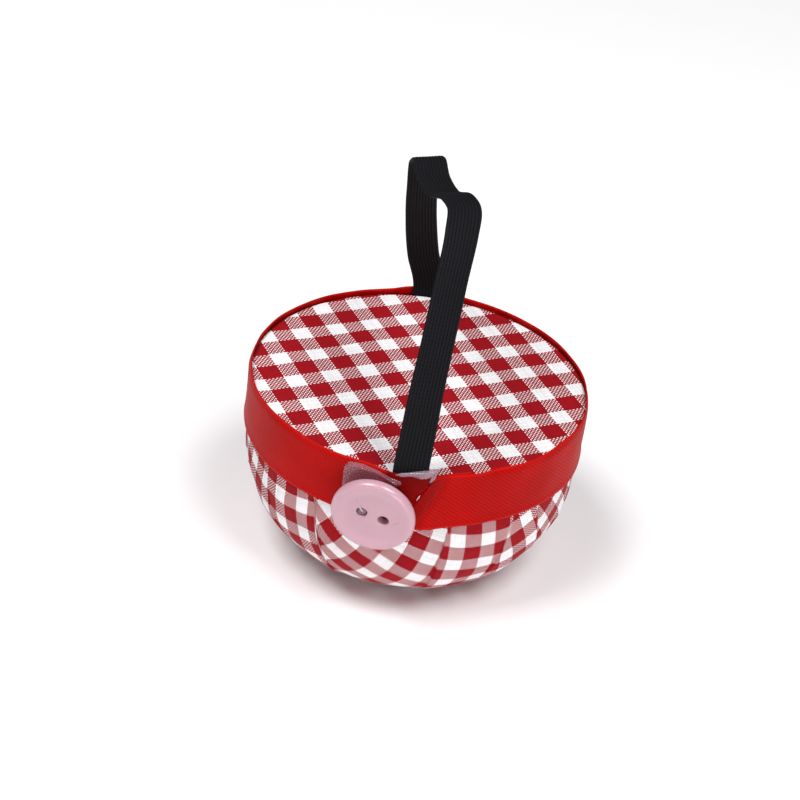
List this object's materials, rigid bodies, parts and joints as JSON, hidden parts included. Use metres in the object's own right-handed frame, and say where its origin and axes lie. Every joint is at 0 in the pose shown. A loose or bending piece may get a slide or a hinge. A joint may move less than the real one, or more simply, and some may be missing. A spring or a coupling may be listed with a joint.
{
  "type": "wrist pin cushion",
  "caption": "Stuffed gingham dome with a flat stiffened face, satin ribbon rim and button trim, worn on the wrist by an elastic band while sewing.",
  "frame": {"origin": "centre of the flattened patch at the bottom of the dome, which the cushion stands on here with its wrist face up", "axes": "+Z out of the flat wrist face, away from the dome; +Y from the front end of the elastic band, beside the button, to its back end; +X to the right when the button faces the viewer"},
  "size_m": [0.0658, 0.0716, 0.0807],
  "materials": {
    "gingham_cotton": "woven cotton gingham, crimson and white checks",
    "satin_ribbon": "red satin with a fine diagonal twill",
    "elastic": "black braided elastic with lengthwise ribs",
    "button_plastic": "glossy pale pink, slightly milky",
    "hot_glue": "clear hot-melt glue",
    "sewing_thread": "white cotton thread",
    "wadding": "white polyester wadding, tightly packed",
    "stiff_card": "dense fibre board"
  },
  "bodies": {
    "cushion": {"guard_disc": "stiff_card", "base_cover": "gingham_cotton", "base_cover_thread": "sewing_thread", "joining_glue": "hot_glue", "dome_cover": "gingham_cotton", "dome_cover_thread": "sewing_thread", "filling": "wadding", "rim_ribbon": "satin_ribbon", "wristband_front_end": "elastic", "wristband_back_end": "elastic", "front_end_glue": "hot_glue", "back_end_glue": "hot_glue", "button": "button_plastic", "button_glue": "hot_glue"},
    "wristband": {"wristband_front_leg": "elastic", "wristband_back_leg": "elastic"},
    "wristband_crown": {"wristband_crown": "elastic"}
  },
  "joints": [
    {"name": "band_swing", "type": "hinge", "parent": "cushion", "child": "wristband", "pos_m": [0, 0, 0.0375], "axis": [0, 1, 0], "range_deg": [-75, 75], "stiffness_Nm_per_rad": 0.004},
    {"name": "band_stretch", "type": "slide", "parent": "wristband", "child": "wristband_crown", "axis": [0, 0, 1], "range_m": [0, 0.035], "stiffness_N_per_m": 100, "deforming": ["wristband_front_leg", "wristband_back_leg"]}
  ]
}
